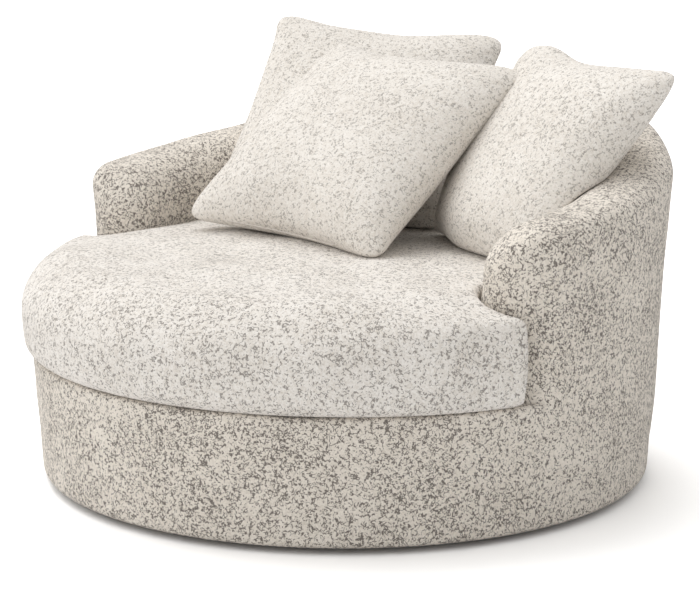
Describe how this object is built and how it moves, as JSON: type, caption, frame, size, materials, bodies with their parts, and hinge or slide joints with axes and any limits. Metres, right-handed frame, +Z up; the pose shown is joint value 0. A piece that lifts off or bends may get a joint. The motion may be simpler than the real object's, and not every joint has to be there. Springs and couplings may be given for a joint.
{
  "type": "cuddle chair",
  "caption": "Round upholstered cuddle chair with a low wrap-around back, wide T-shaped seat cushion, loose scatter pillows and a hidden swivel plinth.",
  "frame": {"origin": "floor level at the swivel axis, on the underside of the middle glide", "axes": "+Z up, the open front of the seat faces -Y, the sitter's left-hand arm is at +X"},
  "size_m": [1.2638, 1.2764, 0.8553],
  "materials": {
    "plywood": "satin",
    "timber": "matte",
    "fibreboard": "matte",
    "zinc_steel": "satin",
    "ball_steel": "polished",
    "spring_steel": "satin",
    "dark_plastic": "matte",
    "foam": "matte",
    "fibre_fill": "matte",
    "body_fabric": "matte",
    "seat_fabric": "matte",
    "pillow_fabric": "matte",
    "lining_cloth": "matte",
    "webbing": "matte",
    "zip_tape": "matte"
  },
  "bodies": {
    "plinth": {"plinth_board": "plywood", "plinth_glides": "dark_plastic", "plinth_screws": "zinc_steel", "bearing_lower_plate": "zinc_steel", "bearing_balls": "ball_steel", "bearing_cage": "dark_plastic"},
    "chair": {"bearing_upper_plate": "zinc_steel", "bearing_bolts": "zinc_steel", "cross_rail_long": "timber", "cross_rail_short": "timber", "base_ring": "plywood", "base_posts": "timber", "deck_ring": "plywood", "base_panel": "fibreboard", "base_wadding": "fibre_fill", "base_cover": "body_fabric", "dust_cover": "lining_cloth", "seat_springs": "spring_steel", "spring_clips": "dark_plastic", "edge_roll": "foam", "deck_pad": "fibre_fill", "deck_cloth": "lining_cloth", "back_posts": "timber", "arm_boards": "plywood", "top_rail": "plywood", "outer_panel": "fibreboard", "inner_straps": "webbing", "wall_foam": "foam", "wall_cover": "body_fabric"},
    "seat_cushion": {"seat_cover": "seat_fabric", "seat_wrap": "fibre_fill", "seat_core": "foam", "seat_zip": "zip_tape"},
    "right_pillow": {"right_pillow_cover": "pillow_fabric", "right_pillow_fill": "fibre_fill", "right_pillow_zip": "zip_tape"},
    "left_pillow": {"left_pillow_cover": "pillow_fabric", "left_pillow_fill": "fibre_fill", "left_pillow_zip": "zip_tape"},
    "front_pillow": {"front_pillow_cover": "pillow_fabric", "front_pillow_fill": "fibre_fill", "front_pillow_zip": "zip_tape"}
  },
  "joints": [
    {"name": "swivel", "type": "hinge", "parent": "plinth", "child": "chair", "pos_m": [0, 0, 0.03], "axis": [0, 0, 1], "continuous": true},
    {"name": "seat_cushion_lift", "type": "slide", "parent": "chair", "child": "seat_cushion", "axis": [0, 0, 1], "range_m": [0, 0.35]},
    {"name": "right_pillow_lift", "type": "slide", "parent": "seat_cushion", "child": "right_pillow", "axis": [0, 0, 1], "range_m": [0, 0.3]},
    {"name": "left_pillow_lift", "type": "slide", "parent": "right_pillow", "child": "left_pillow", "axis": [0, 0, 1], "range_m": [0, 0.3]},
    {"name": "front_pillow_lift", "type": "slide", "parent": "left_pillow", "child": "front_pillow", "axis": [0, 0, 1], "range_m": [0, 0.3]}
  ]
}
